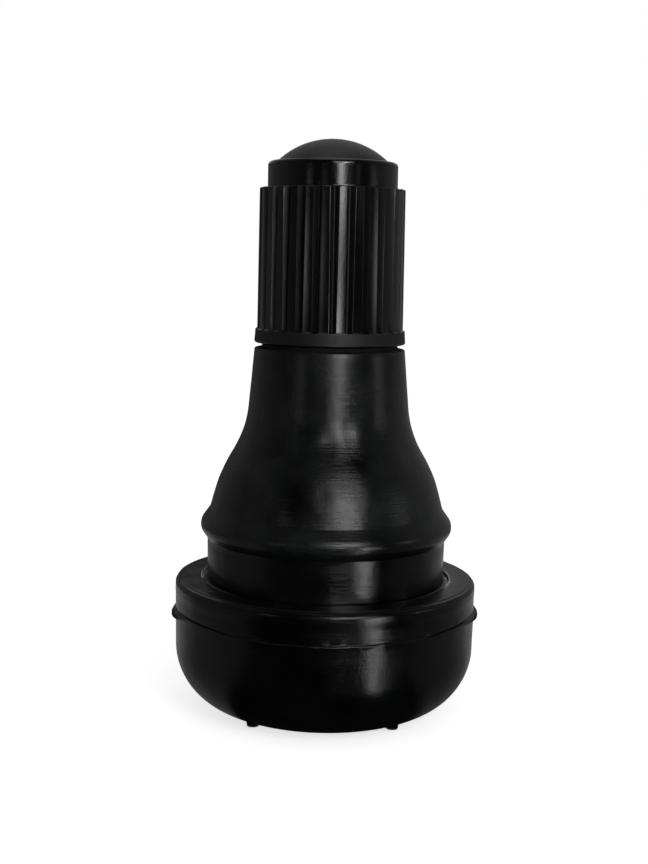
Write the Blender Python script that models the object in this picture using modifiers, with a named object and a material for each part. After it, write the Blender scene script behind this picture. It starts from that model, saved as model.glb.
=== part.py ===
"""Snap-in rubber tyre valve with a ribbed dust cap and a screw-in valve core.

The valve stands on its base with its axis on Z and its feet at z = 0.
Sizes below are in millimetres, and the model itself is in metres.
"""

import math

import bmesh
import bpy
from mathutils import Matrix, Vector

MM = 0.001

# Rubber body: base flange
FOOT_HEIGHT = 0.3
FOOT_DIAMETER = 1.1
FOOT_INSET = 3.78
FOOT_COUNT = 4
FLANGE_THICKNESS = 9.48
FLANGE_DIAMETER = 21.56
FLANGE_DRAFT = 0.10
BASE_ROUNDING = 4.6
FLASH_REACH = 0.34
FLASH_THICKNESS = 0.18
FLASH_DROP = 2.33
AIR_RECESS_DIAMETER = 8.6
AIR_RECESS_DEPTH = 0.9
SEAT_LAND_MARGIN = 0.1
SEAT_LIP_RADIUS = 0.25
SEAT_EDGE_WIDTH = 0.62
SEAT_EDGE_DROP = 0.44
SEAT_EDGE_RADIUS = 0.4

# Rubber body: rim groove, bead, bulb and neck
MOAT_DEPTH = 0.2
GROOVE_DIAMETER = 17.12
GROOVE_WIDTH = 2.85
BEAD_DIAMETER = 18.1
BEAD_HEIGHT = 2.15
BEAD_RADIUS = 0.9
BEAD_NOSE_HEIGHT = 0.97
BEAD_NOSE_TURN = 70.0
BEAD_FILLET = 0.4
BULB_DIAMETER = 16.8
BULB_HEIGHT = 2.7
BULB_TAPER = 0.28
BULB_RADIUS = 9.5
FLARE_HEIGHT = 2.92
FLARE_TAPER = 0.6
FLARE_RADIUS = 7.5
NECK_HEIGHT = 5.85
NECK_TOP_DIAMETER = 10.7
NECK_TOP_SLOPE = 0.12
COLLAR_DIAMETER = 9.66
COLLAR_HEIGHT = 0.35

# Brass stem
BOND_GAP = 0.05
THREAD_DIAMETER = 7.7
NOSE_LENGTH = 10.7
NOSE_CHAMFER = 0.5
THREAD_RUNOUT = 0.6
SHANK_DIAMETER = 7.1
LOCK_GROOVE_COUNT = 2
LOCK_GROOVE_PITCH = 4.2
LOCK_GROOVE_DEPTH = 0.45
LOCK_GROOVE_WIDTH = 1.4
LOCK_GROOVE_DROP = 6.0
STEM_FOOT_DIAMETER = 12.4
STEM_FOOT_EDGE = 1.0
STEM_FOOT_CONE = 2.4
STEM_FOOT_FILLET = 1.2
STEM_FOOT_CLEARANCE = 2.2
STEM_BOSS_DIAMETER = 6.6
PASSAGE_DIAMETER = 2.6
CORE_THREAD_DIAMETER = 5.3
CORE_THREAD_DEPTH = 5.6
CONE_TOP_DIAMETER = 4.6
SEAT_CONE_LENGTH = 1.6
CHAMBER_DIAMETER = 3.9
CHAMBER_DEPTH = 16.9
MOUTH_CHAMFER = 0.3

# Valve core
PLUG_DIAMETER = 5.1
PLUG_LENGTH = 4.6
PLUG_RECESS = 0.45
PLUG_BORE = 1.9
FORK_DEPTH = 1.9
FORK_WIDTH = 2.5
SWIVEL_NECK_DIAMETER = 2.7
SWIVEL_FLANGE_DIAMETER = 3.4
SWIVEL_FLANGE_THICKNESS = 0.5
SWIVEL_THROAT = 0.6
SWIVEL_GAP = 0.1
BARREL_SHOULDER_DIAMETER = 4.4
BARREL_SHOULDER_THICKNESS = 0.5
BARREL_DIAMETER = 3.4
BARREL_LENGTH = 7.8
BARREL_BORE = 2.4
BARREL_THROAT = 1.4
BARREL_FLOOR = 0.8
BARREL_LIP_WIDTH = 0.35
BARREL_LIP_HEIGHT = 0.4
GASKET_LENGTH = 1.5
GASKET_WALL_INSIDE = 2.9
SEAL_GAP = 0.06
PIN_DIAMETER = 0.8
PIN_HEAD_DIAMETER = 1.5
PIN_HEAD_HEIGHT = 0.5
PIN_HEAD_RADIUS = 0.2
PIN_PROUD = 0.2
PIN_COLLAR_DIAMETER = 2.1
PIN_COLLAR_THICKNESS = 0.4
PIN_RIVET_DIAMETER = 1.4
PIN_RIVET_THICKNESS = 0.3
CUP_DIAMETER = 3.5
CUP_HEIGHT = 1.35
CUP_WALL = 0.35
CUP_EDGE_RADIUS = 0.25
CUP_GAP = 0.05
SEAL_THICKNESS = 0.9
SPRING_LENGTH = 5.6
SPRING_MEAN_DIAMETER = 1.76
SPRING_WIRE = 0.22
SPRING_CLOSED_GAP = 0.026
SPRING_TURNS = 6
SPRING_STEPS = 8

# Dust cap
CAP_GAP = 0.05
CAP_RIM_DIAMETER = 10.74
CAP_RIM_TOP_DIAMETER = 10.56
CAP_RIM_HEIGHT = 1.0
RIB_COUNT = 28
RIB_HEIGHT = 9.8
RIB_DIAMETER = 10.36
RIB_TOP_DIAMETER = 10.24
RIB_VALLEY_DIAMETER = 9.2
RIB_CREST_WIDTH = 0.62
RIB_PHASE = -4.9
RIB_CUT_SHARE = 0.97
RIB_OVERCUT = 1.0
CAP_COLLAR_DIAMETER = 9.12
CAP_COLLAR_HEIGHT = 1.85
CAP_COLLAR_RADIUS = 0.3
DOME_DIAMETER = 7.84
DOME_HEIGHT = 1.6
DOME_STEPS = 5
CAP_MOUTH_DIAMETER = 8.5
CAP_MOUTH_DEPTH = 0.6
CAP_LEAD_IN = 0.5
CAP_THREAD_CLEARANCE = 0.1
CAP_SEAL_HEIGHT = 1.05
CAP_SEAL_WIDTH = 1.0
CAP_SEAL_BEVEL = 0.2
CORE_HEADROOM = 1.7

# Facets round each turned shape
BODY_SEGMENTS = 36
CORE_SEGMENTS = 24
PIN_SEGMENTS = 12
CAP_SEGMENTS = 2 * RIB_COUNT
CHORD_GAP = 0.012

# Edges that turn less than this are shaded smooth
SMOOTH_ANGLE = 32.0

# Drawn size of the empties that carry the moving pieces
CARRIER_SIZE = 5.0

# Levels along the axis that more than one piece shares
base_z = FOOT_HEIGHT
seat_z = base_z + FLANGE_THICKNESS
bead_bottom_z = seat_z + GROOVE_WIDTH
bulb_bottom_z = bead_bottom_z + BEAD_HEIGHT
bulb_top_z = bulb_bottom_z + BULB_HEIGHT
flare_top_z = bulb_top_z + FLARE_HEIGHT
neck_top_z = flare_top_z + NECK_HEIGHT
collar_top_z = neck_top_z + COLLAR_HEIGHT
recess_roof_z = base_z + AIR_RECESS_DEPTH
tip_z = neck_top_z + NOSE_LENGTH
cone_top_z = tip_z - CORE_THREAD_DEPTH
cone_bottom_z = cone_top_z - SEAT_CONE_LENGTH
chamber_floor_z = tip_z - CHAMBER_DEPTH
plug_top_z = tip_z - PLUG_RECESS
plug_bottom_z = plug_top_z - PLUG_LENGTH
shoulder_top_z = plug_bottom_z - SWIVEL_GAP
shoulder_bottom_z = shoulder_top_z - BARREL_SHOULDER_THICKNESS
gasket_bottom_z = shoulder_bottom_z - GASKET_LENGTH - 2 * SEAL_GAP
barrel_bottom_z = shoulder_top_z - BARREL_LENGTH
spring_bottom_z = barrel_bottom_z + BARREL_FLOOR + CUP_GAP
spring_top_z = spring_bottom_z + SPRING_LENGTH
cup_top_z = barrel_bottom_z - CUP_GAP
cup_bottom_z = cup_top_z - CUP_HEIGHT
cap_bottom_z = collar_top_z + CAP_GAP
rib_bottom_z = cap_bottom_z + CAP_RIM_HEIGHT
rib_top_z = rib_bottom_z + RIB_HEIGHT
cap_collar_z = rib_top_z + CAP_COLLAR_HEIGHT
cap_seal_z = tip_z + CAP_GAP


def reset_scene():
    for obj in list(bpy.data.objects):
        bpy.data.objects.remove(obj, do_unlink=True)


def new_collection(name):
    collection = bpy.data.collections.new(name)
    bpy.context.scene.collection.children.link(collection)
    return collection


def principled(name, color, roughness, metallic=0.0):
    material = bpy.data.materials.new(name)
    material.use_nodes = True
    shader = material.node_tree.nodes["Principled BSDF"]
    shader.inputs["Base Color"].default_value = (*color, 1.0)
    shader.inputs["Roughness"].default_value = roughness
    shader.inputs["Metallic"].default_value = metallic
    return material


def smooth_by_angle():
    """Geometry nodes that shade a turned or cut piece smooth, apart from its sharp edges."""
    group = bpy.data.node_groups.new("smooth_by_angle", "GeometryNodeTree")
    group.interface.new_socket("Geometry", in_out="INPUT", socket_type="NodeSocketGeometry")
    group.interface.new_socket("Geometry", in_out="OUTPUT", socket_type="NodeSocketGeometry")
    nodes = group.nodes
    links = group.links
    shape_in = nodes.new("NodeGroupInput")
    shape_out = nodes.new("NodeGroupOutput")
    angle = nodes.new("GeometryNodeInputMeshEdgeAngle")
    sharp = nodes.new("FunctionNodeCompare")
    sharp.operation = "GREATER_THAN"
    sharp.inputs["B"].default_value = math.radians(SMOOTH_ANGLE)
    faces = nodes.new("GeometryNodeSetShadeSmooth")
    edges = nodes.new("GeometryNodeSetShadeSmooth")
    edges.domain = "EDGE"
    edges.inputs["Shade Smooth"].default_value = False
    links.new(shape_in.outputs["Geometry"], faces.inputs["Geometry"])
    links.new(faces.outputs["Geometry"], edges.inputs["Geometry"])
    links.new(angle.outputs["Unsigned Angle"], sharp.inputs["A"])
    links.new(sharp.outputs["Result"], edges.inputs["Selection"])
    links.new(edges.outputs["Geometry"], shape_out.inputs["Geometry"])
    return group


def rounded(corners):
    """Points along a path of (r, z) or (r, z, fillet) corners, with an arc at each fillet."""
    fillets = [corner[2] if len(corner) > 2 else 0.0 for corner in corners]
    points = []
    for i, corner in enumerate(corners):
        here = Vector(corner[:2])
        fillet = fillets[i]
        if not fillet:
            points.append(here)
            continue
        before = Vector(corners[i - 1][:2]) - here
        after = Vector(corners[i + 1][:2]) - here
        turn = math.pi - before.angle(after)
        room = min(
            before.length * (0.49 if fillets[i - 1] else 0.98),
            after.length * (0.49 if fillets[i + 1] else 0.98),
        )
        fillet = min(fillet, room / math.tan(turn / 2))
        start = here + before.normalized() * fillet * math.tan(turn / 2)
        middle = (before.normalized() + after.normalized()).normalized()
        centre = here + middle * (fillet / math.cos(turn / 2))
        step = 2 * math.acos(1 - CHORD_GAP / fillet)
        steps = math.ceil(turn / step)
        sense = 1 if before.cross(after) < 0 else -1
        arm = start - centre
        for k in range(steps + 1):
            spin = Matrix.Rotation(sense * turn * k / steps, 2)
            points.append(centre + spin @ arm)
    return points


def turned(name, corners, segments, material, collection, closed=True):
    """A solid of revolution about Z. The path runs down the outer side and, if closed, up the bore."""
    points = rounded(corners)
    mesh = bpy.data.meshes.new(name)
    shape = bmesh.new()
    verts = [shape.verts.new((p.x * MM, 0.0, p.y * MM)) for p in points]
    for a, b in zip(verts, verts[1:]):
        shape.edges.new((a, b))
    if closed:
        shape.edges.new((verts[-1], verts[0]))
    shape.to_mesh(mesh)
    shape.free()
    obj = bpy.data.objects.new(name, mesh)
    collection.objects.link(obj)
    mesh.materials.append(material)
    screw = obj.modifiers.new("Turn", "SCREW")
    screw.axis = "Z"
    screw.angle = math.tau
    screw.steps = segments
    screw.render_steps = segments
    screw.use_merge_vertices = True
    screw.merge_threshold = 1e-6
    screw.use_smooth_shade = False
    return obj


def mesh_object(name, shape, collection):
    mesh = bpy.data.meshes.new(name)
    shape.to_mesh(mesh)
    shape.free()
    obj = bpy.data.objects.new(name, mesh)
    collection.objects.link(obj)
    return obj


def as_cutter(obj):
    obj.hide_render = True
    obj.display_type = "WIRE"
    return obj


def boolean(obj, other, operation):
    modifier = obj.modifiers.new(other.name, "BOOLEAN")
    modifier.operation = operation
    modifier.object = other
    modifier.solver = "EXACT"


def bonded_outline(gap):
    """The stem's outside where the rubber grips it, downwards, grown by a gap on every side."""
    shank = SHANK_DIAMETER / 2 + gap
    foot = STEM_FOOT_DIAMETER / 2 + gap
    boss = STEM_BOSS_DIAMETER / 2 + gap
    floor = recess_roof_z + STEM_FOOT_CLEARANCE
    path = []
    for i in range(LOCK_GROOVE_COUNT):
        top = neck_top_z - LOCK_GROOVE_DROP - i * LOCK_GROOVE_PITCH
        flank = LOCK_GROOVE_WIDTH / 4
        path.append((shank, top))
        path.append((shank - LOCK_GROOVE_DEPTH, top - flank))
        path.append((shank - LOCK_GROOVE_DEPTH, top - LOCK_GROOVE_WIDTH + flank))
        path.append((shank, top - LOCK_GROOVE_WIDTH))
    path.append((shank, floor + STEM_FOOT_EDGE + STEM_FOOT_CONE, STEM_FOOT_FILLET))
    path.append((foot, floor + STEM_FOOT_EDGE))
    path.append((foot, floor - gap))
    path.append((boss, floor - gap))
    path.append((boss, recess_roof_z))
    return path


def rubber_body(material, parts, cutters):
    wall = FLANGE_DIAMETER / 2
    low_wall = wall - FLANGE_DRAFT
    flash_z = seat_z - FLASH_DROP
    groove = GROOVE_DIAMETER / 2
    ledge_third = (wall - groove) / 3
    seat_edge = wall - min(SEAT_EDGE_WIDTH, ledge_third)
    lip = BEAD_DIAMETER / 2 + SEAT_LAND_MARGIN - SEAT_LIP_RADIUS
    lip = min(lip, seat_edge - ledge_third)
    bulb = BULB_DIAMETER / 2
    bulb_top = bulb - BULB_TAPER * BULB_HEIGHT
    flare_top = bulb_top - FLARE_TAPER * FLARE_HEIGHT
    neck = NECK_TOP_DIAMETER / 2
    bead_reach = BEAD_RADIUS * (1 / math.cos(math.radians(BEAD_NOSE_TURN / 2)) - 1)
    bore = SHANK_DIAMETER / 2 + BOND_GAP
    corners = [
        (bore, collar_top_z),
        (COLLAR_DIAMETER / 2, collar_top_z),
        (COLLAR_DIAMETER / 2, neck_top_z + NECK_TOP_SLOPE),
        (neck, neck_top_z),
        (flare_top, flare_top_z, FLARE_RADIUS),
        (bulb_top, bulb_top_z, BULB_RADIUS),
        (bulb, bulb_bottom_z, BEAD_FILLET),
        (BEAD_DIAMETER / 2 + bead_reach, bead_bottom_z + BEAD_NOSE_HEIGHT, BEAD_RADIUS),
        (groove, bead_bottom_z),
        (groove, seat_z - MOAT_DEPTH),
        (lip, seat_z - MOAT_DEPTH),
        (lip, seat_z, SEAT_LIP_RADIUS),
        (seat_edge, seat_z, SEAT_EDGE_RADIUS),
        (wall, seat_z - SEAT_EDGE_DROP, SEAT_EDGE_RADIUS),
        (wall, flash_z + FLASH_THICKNESS),
        (wall + FLASH_REACH, flash_z + FLASH_THICKNESS / 4),
        (wall + FLASH_REACH, flash_z - FLASH_THICKNESS / 4),
        (wall, flash_z - FLASH_THICKNESS),
        (low_wall, base_z, BASE_ROUNDING),
        (AIR_RECESS_DIAMETER / 2, base_z),
        (AIR_RECESS_DIAMETER / 2, recess_roof_z),
    ]
    corners += reversed(bonded_outline(BOND_GAP))
    body = turned("rubber_body", corners, BODY_SEGMENTS, material, parts)
    feet = bmesh.new()
    height = 2 * FOOT_HEIGHT
    arm = low_wall - FOOT_INSET
    for i in range(FOOT_COUNT):
        angle = math.tau * (i + 0.5) / FOOT_COUNT
        place = Vector((arm * math.cos(angle), arm * math.sin(angle), height / 2)) * MM
        bmesh.ops.create_cone(
            feet,
            cap_ends=True,
            segments=PIN_SEGMENTS,
            radius1=FOOT_DIAMETER / 2 * MM,
            radius2=FOOT_DIAMETER / 2 * MM,
            depth=height * MM,
            matrix=Matrix.Translation(place),
        )
    boolean(body, as_cutter(mesh_object("feet", feet, cutters)), "UNION")
    return body


def brass_stem(material, parts):
    thread = THREAD_DIAMETER / 2
    shank = SHANK_DIAMETER / 2
    core_bore = CORE_THREAD_DIAMETER / 2
    cone_top = CONE_TOP_DIAMETER / 2
    chamber = CHAMBER_DIAMETER / 2
    passage = PASSAGE_DIAMETER / 2
    corners = [
        (core_bore + MOUTH_CHAMFER, tip_z),
        (thread - NOSE_CHAMFER, tip_z),
        (thread, tip_z - NOSE_CHAMFER),
        (thread, collar_top_z + THREAD_RUNOUT),
        (shank, collar_top_z + THREAD_RUNOUT / 3),
    ]
    corners += bonded_outline(0.0)
    corners += [
        (passage, recess_roof_z),
        (passage, chamber_floor_z - (chamber - passage)),
        (chamber, chamber_floor_z),
        (chamber, cone_bottom_z),
        (cone_top, cone_top_z),
        (core_bore, cone_top_z + core_bore - cone_top),
        (core_bore, tip_z - MOUTH_CHAMFER),
    ]
    return turned("brass_stem", corners, BODY_SEGMENTS, material, parts)


def cone_radius(z):
    """Radius of the stem's cone seat at a height."""
    share = (z - cone_bottom_z) / (cone_top_z - cone_bottom_z)
    chamber = CHAMBER_DIAMETER / 2
    return chamber + share * (CONE_TOP_DIAMETER / 2 - chamber)


def core_barrel(material, parts):
    barrel = BARREL_DIAMETER / 2
    shoulder = BARREL_SHOULDER_DIAMETER / 2
    land = GASKET_WALL_INSIDE / 2 - SEAL_GAP
    neck = SWIVEL_NECK_DIAMETER / 2
    flange = SWIVEL_FLANGE_DIAMETER / 2
    flange_z = plug_bottom_z + SWIVEL_THROAT + SWIVEL_GAP
    top_z = flange_z + SWIVEL_FLANGE_THICKNESS
    bore = BARREL_BORE / 2
    pin_way = PLUG_BORE / 2
    throat = BARREL_THROAT / 2
    lip = throat + BARREL_LIP_WIDTH
    corners = [
        (pin_way, top_z),
        (flange, top_z),
        (flange, flange_z),
        (neck, flange_z),
        (neck, shoulder_top_z),
        (shoulder, shoulder_top_z),
        (shoulder, shoulder_bottom_z),
        (land, shoulder_bottom_z),
        (land, gasket_bottom_z),
        (barrel, gasket_bottom_z),
        (barrel, barrel_bottom_z + BARREL_LIP_HEIGHT),
        (lip, barrel_bottom_z),
        (throat, barrel_bottom_z),
        (throat, barrel_bottom_z + BARREL_FLOOR),
        (bore, barrel_bottom_z + BARREL_FLOOR),
        (bore, shoulder_bottom_z),
        (pin_way, shoulder_bottom_z + (bore - pin_way)),
    ]
    return turned("core_barrel", corners, CORE_SEGMENTS, material, parts)


def barrel_gasket(material, parts):
    top_z = shoulder_bottom_z - SEAL_GAP
    low_z = gasket_bottom_z + SEAL_GAP
    inside = GASKET_WALL_INSIDE / 2
    corners = [
        (inside, top_z),
        (cone_radius(top_z) - SEAL_GAP, top_z),
        (max(cone_radius(low_z), CHAMBER_DIAMETER / 2) - SEAL_GAP, low_z),
        (inside, low_z),
    ]
    return turned("barrel_gasket", corners, CORE_SEGMENTS, material, parts)


def core_plug(material, parts, cutters):
    radius = PLUG_DIAMETER / 2
    throat = SWIVEL_NECK_DIAMETER / 2 + SWIVEL_GAP
    groove = SWIVEL_FLANGE_DIAMETER / 2 + SWIVEL_GAP
    groove_z = plug_bottom_z + SWIVEL_THROAT
    groove_top_z = groove_z + SWIVEL_FLANGE_THICKNESS + 2 * SWIVEL_GAP
    bore = PLUG_BORE / 2
    edge = MOUTH_CHAMFER
    corners = [
        (bore, plug_top_z),
        (radius - edge, plug_top_z),
        (radius, plug_top_z - edge),
        (radius, plug_bottom_z + edge),
        (radius - edge, plug_bottom_z),
        (throat, plug_bottom_z),
        (throat, groove_z),
        (groove, groove_z),
        (groove, groove_top_z),
        (bore, groove_top_z),
    ]
    plug = turned("core_plug", corners, CORE_SEGMENTS, material, parts)
    flats = bmesh.new()
    depth = 2 * FORK_DEPTH
    for side in (-1, 1):
        offset = side * (FORK_WIDTH + PLUG_DIAMETER) / 2
        place = Matrix.Translation(Vector((offset, 0.0, plug_top_z)) * MM)
        size = Matrix.Diagonal((PLUG_DIAMETER * MM, 2 * PLUG_DIAMETER * MM, depth * MM, 1.0))
        bmesh.ops.create_cube(flats, size=1.0, matrix=place @ size)
    boolean(plug, as_cutter(mesh_object("fork_flats", flats, cutters)), "DIFFERENCE")
    return plug


def plunger_pin(material, parts):
    pin = PIN_DIAMETER / 2
    head = PIN_HEAD_DIAMETER / 2
    collar = PIN_COLLAR_DIAMETER / 2
    rivet = PIN_RIVET_DIAMETER / 2
    top_z = plug_top_z + PIN_PROUD
    collar_z = spring_top_z + CUP_GAP
    rivet_z = cup_bottom_z - CUP_GAP
    corners = [
        (0.0, top_z),
        (head, top_z, PIN_HEAD_RADIUS),
        (head, top_z - PIN_HEAD_HEIGHT),
        (pin, top_z - PIN_HEAD_HEIGHT),
        (pin, collar_z + PIN_COLLAR_THICKNESS),
        (collar, collar_z + PIN_COLLAR_THICKNESS),
        (collar, collar_z),
        (pin, collar_z),
        (pin, rivet_z),
        (rivet, rivet_z),
        (rivet, rivet_z - PIN_RIVET_THICKNESS),
        (0.0, rivet_z - PIN_RIVET_THICKNESS),
    ]
    return turned("plunger_pin", corners, PIN_SEGMENTS, material, parts, closed=False)


def plunger_cup(material, parts):
    outside = CUP_DIAMETER / 2
    inside = outside - CUP_WALL
    hole = PIN_DIAMETER / 2 + CUP_GAP
    floor_z = cup_bottom_z + CUP_HEIGHT - SEAL_THICKNESS - 2 * CUP_GAP
    corners = [
        (inside, cup_top_z),
        (outside, cup_top_z),
        (outside, cup_bottom_z, CUP_EDGE_RADIUS),
        (hole, cup_bottom_z),
        (hole, floor_z),
        (inside, floor_z),
    ]
    return turned("plunger_cup", corners, CORE_SEGMENTS, material, parts)


def plunger_seal(material, parts):
    outside = CUP_DIAMETER / 2 - CUP_WALL - CUP_GAP
    inside = PIN_DIAMETER / 2 + CUP_GAP
    top_z = cup_top_z - CUP_GAP
    corners = [
        (inside, top_z),
        (outside, top_z),
        (outside, top_z - SEAL_THICKNESS),
        (inside, top_z - SEAL_THICKNESS),
    ]
    return turned("plunger_seal", corners, CORE_SEGMENTS, material, parts)


def core_spring(material, parts):
    curve = bpy.data.curves.new("core_spring", "CURVE")
    curve.dimensions = "3D"
    curve.bevel_depth = SPRING_WIRE / 2 * MM
    curve.bevel_resolution = 2
    curve.use_fill_caps = True
    count = SPRING_TURNS * SPRING_STEPS + 1
    spline = curve.splines.new("POLY")
    spline.points.add(count - 1)
    radius = SPRING_MEAN_DIAMETER / 2
    rise = SPRING_LENGTH - SPRING_WIRE
    closed_pitch = SPRING_WIRE + SPRING_CLOSED_GAP
    open_pitch = (rise - 2 * closed_pitch) / (SPRING_TURNS - 2)
    for i, point in enumerate(spline.points):
        turns = i / SPRING_STEPS
        angle = math.tau * turns
        open_turns = min(max(turns - 1, 0), SPRING_TURNS - 2)
        height = closed_pitch * (turns - open_turns) + open_pitch * open_turns
        z = spring_bottom_z + SPRING_WIRE / 2 + height
        point.co = (radius * math.cos(angle) * MM, radius * math.sin(angle) * MM, z * MM, 1.0)
    obj = bpy.data.objects.new("core_spring", curve)
    curve.materials.append(material)
    parts.objects.link(obj)
    return obj


def valve_cap(material, parts, cutters):
    rim = CAP_RIM_DIAMETER / 2
    thread = THREAD_DIAMETER / 2 + CAP_THREAD_CLEARANCE
    collar = CAP_COLLAR_DIAMETER / 2
    dome = DOME_DIAMETER / 2
    dome_radius = (dome**2 + DOME_HEIGHT**2) / (2 * DOME_HEIGHT)
    half_angle = math.asin(dome / dome_radius)
    seal_pocket_z = cap_seal_z + CAP_SEAL_HEIGHT + CAP_GAP
    ceiling_z = tip_z + CORE_HEADROOM
    headroom = thread - CAP_SEAL_WIDTH - CAP_THREAD_CLEARANCE
    corners = []
    for i in range(DOME_STEPS + 1):
        angle = half_angle * i / DOME_STEPS
        drop = dome_radius * (1 - math.cos(angle))
        corners.append((dome_radius * math.sin(angle), cap_collar_z + DOME_HEIGHT - drop))
    corners += [
        (collar, cap_collar_z, CAP_COLLAR_RADIUS),
        (collar, rib_top_z),
        (RIB_TOP_DIAMETER / 2, rib_top_z),
        (RIB_DIAMETER / 2, rib_bottom_z),
        (CAP_RIM_TOP_DIAMETER / 2, rib_bottom_z),
        (rim, cap_bottom_z),
        (CAP_MOUTH_DIAMETER / 2, cap_bottom_z),
        (CAP_MOUTH_DIAMETER / 2, cap_bottom_z + CAP_MOUTH_DEPTH),
        (thread, cap_bottom_z + CAP_MOUTH_DEPTH + CAP_LEAD_IN),
        (thread, seal_pocket_z),
        (headroom, seal_pocket_z),
        (headroom, ceiling_z),
        (0.0, ceiling_z),
    ]
    cap = turned("valve_cap", corners, CAP_SEGMENTS, material, parts, closed=False)
    valleys = bmesh.new()
    floor = RIB_VALLEY_DIAMETER / 2
    crest = RIB_DIAMETER / 2
    half_pitch = math.pi / RIB_COUNT
    flank = (half_pitch * crest - RIB_CREST_WIDTH / 2) / (crest - floor)
    widest = floor * flank / (flank - RIB_CUT_SHARE * half_pitch)
    reach = widest - floor
    height = RIB_HEIGHT + RIB_OVERCUT
    for i in range(RIB_COUNT):
        turn = math.radians(RIB_PHASE) + math.tau * (i + 0.5) / RIB_COUNT
        spin = Matrix.Rotation(turn, 4, "Z")
        place = Matrix.Translation(Vector((widest, 0.0, rib_bottom_z + height / 2)) * MM)
        section = Matrix.Diagonal((reach * MM, flank * reach * MM, height * MM, 1.0))
        bmesh.ops.create_cone(
            valleys,
            cap_ends=True,
            segments=4,
            radius1=1.0,
            radius2=1.0,
            depth=1.0,
            matrix=spin @ place @ section,
        )
    boolean(cap, as_cutter(mesh_object("rib_valleys", valleys, cutters)), "DIFFERENCE")
    return cap


def cap_seal(material, parts):
    outside = THREAD_DIAMETER / 2
    inside = outside - CAP_SEAL_WIDTH
    top_z = cap_seal_z + CAP_SEAL_HEIGHT
    bevel = CAP_SEAL_BEVEL
    corners = [
        (inside, top_z),
        (outside - bevel, top_z),
        (outside, top_z - bevel),
        (outside, cap_seal_z + bevel),
        (outside - bevel, cap_seal_z),
        (inside, cap_seal_z),
    ]
    return turned("cap_seal", corners, BODY_SEGMENTS, material, parts)


def carrier(name, parts, parent=None):
    empty = bpy.data.objects.new(name, None)
    empty.empty_display_size = CARRIER_SIZE * MM
    empty.parent = parent
    parts.objects.link(empty)
    return empty


def build():
    reset_scene()
    parts = new_collection("tyre_valve")
    cutters = new_collection("cutters")
    rubber = principled("moulded_rubber", (0.022, 0.022, 0.023), 0.55)
    plastic = principled("cap_plastic", (0.012, 0.012, 0.013), 0.28)
    seal_rubber = principled("seal_rubber", (0.03, 0.03, 0.03), 0.6)
    brass = principled("turned_brass", (0.72, 0.5, 0.2), 0.3, 1.0)
    gasket = principled("gasket_polymer", (0.75, 0.13, 0.1), 0.45)
    steel = principled("spring_steel", (0.6, 0.6, 0.62), 0.25, 1.0)

    stem = carrier("stem_carrier", parts)
    cap_ring = carrier("cap_ring_carrier", parts, stem)
    cap_turn = carrier("cap_turn_carrier", parts, cap_ring)
    core = carrier("core_carrier", parts, stem)
    plug_turn = carrier("plug_turn_carrier", parts, core)
    plunger = carrier("plunger_carrier", parts, core)

    rubber_body(rubber, parts, cutters).parent = stem
    brass_stem(brass, parts).parent = stem
    cap_seal(seal_rubber, parts).parent = cap_ring
    valve_cap(plastic, parts, cutters).parent = cap_turn
    core_barrel(brass, parts).parent = core
    barrel_gasket(gasket, parts).parent = core
    core_spring(steel, parts).parent = core
    core_plug(brass, parts, cutters).parent = plug_turn
    plunger_pin(brass, parts).parent = plunger
    plunger_cup(brass, parts).parent = plunger
    plunger_seal(seal_rubber, parts).parent = plunger

    shading = smooth_by_angle()
    for obj in parts.objects:
        if obj.type == "MESH":
            obj.modifiers.new("Smooth by angle", "NODES").node_group = shading


build()
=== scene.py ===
import math

import bmesh
import bpy
from mathutils import Matrix, Vector


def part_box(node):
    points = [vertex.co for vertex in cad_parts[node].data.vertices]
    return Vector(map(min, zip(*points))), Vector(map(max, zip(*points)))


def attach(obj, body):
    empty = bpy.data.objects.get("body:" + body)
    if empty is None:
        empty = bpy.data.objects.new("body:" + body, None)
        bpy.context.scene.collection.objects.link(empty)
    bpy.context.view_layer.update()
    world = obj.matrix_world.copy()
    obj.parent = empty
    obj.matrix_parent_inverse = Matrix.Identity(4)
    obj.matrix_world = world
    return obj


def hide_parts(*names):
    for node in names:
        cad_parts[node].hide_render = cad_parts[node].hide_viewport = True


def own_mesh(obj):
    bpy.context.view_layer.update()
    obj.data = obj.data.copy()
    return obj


# Snap-in rubber tyre valve: rubber body, brass stem and valve core, ribbed dust cap.
# Sizes in the dictionaries are in millimetres, and the scene itself is in metres.
mm = 0.001
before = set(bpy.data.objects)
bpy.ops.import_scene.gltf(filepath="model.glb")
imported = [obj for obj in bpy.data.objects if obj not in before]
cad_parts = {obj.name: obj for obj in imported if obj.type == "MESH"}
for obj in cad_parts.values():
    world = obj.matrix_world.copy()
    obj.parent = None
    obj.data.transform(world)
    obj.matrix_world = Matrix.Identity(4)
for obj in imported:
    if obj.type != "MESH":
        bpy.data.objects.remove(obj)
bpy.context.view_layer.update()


class Values(dict):
    # a dictionary whose entries can be read as names
    __getattr__ = dict.__getitem__


def level(node, end):
    # height of a CAD piece's lower (0) or upper (1) end, in millimetres
    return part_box(node)[end].z / mm


# Node trees of either kind. An output of a node is a Wire, so that node maths reads as formulas.
class Wire:
    def __init__(self, tree, socket):
        self.tree, self.socket = tree, socket

    def __abs__(self):
        return calc("ABSOLUTE", self)


class Outputs:
    # the outputs of a node, by name or number
    def __init__(self, tree, node):
        self.tree, self.node = tree, node

    def __getitem__(self, which):
        return Wire(self.tree, self.node.outputs[which])

    __getattr__ = __getitem__


def setSocket(socket, value):
    if isinstance(value, Wire):
        value.tree.links.new(value.socket, socket)
    else:
        socket.default_value = value


def newNode(tree, kind, inputs=None, **settings):
    node = tree.nodes.new(kind)
    for key, value in settings.items():
        setattr(node, key, value)
    for key, value in (inputs or {}).items():
        setSocket(node.inputs[key], value)
    return node


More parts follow.
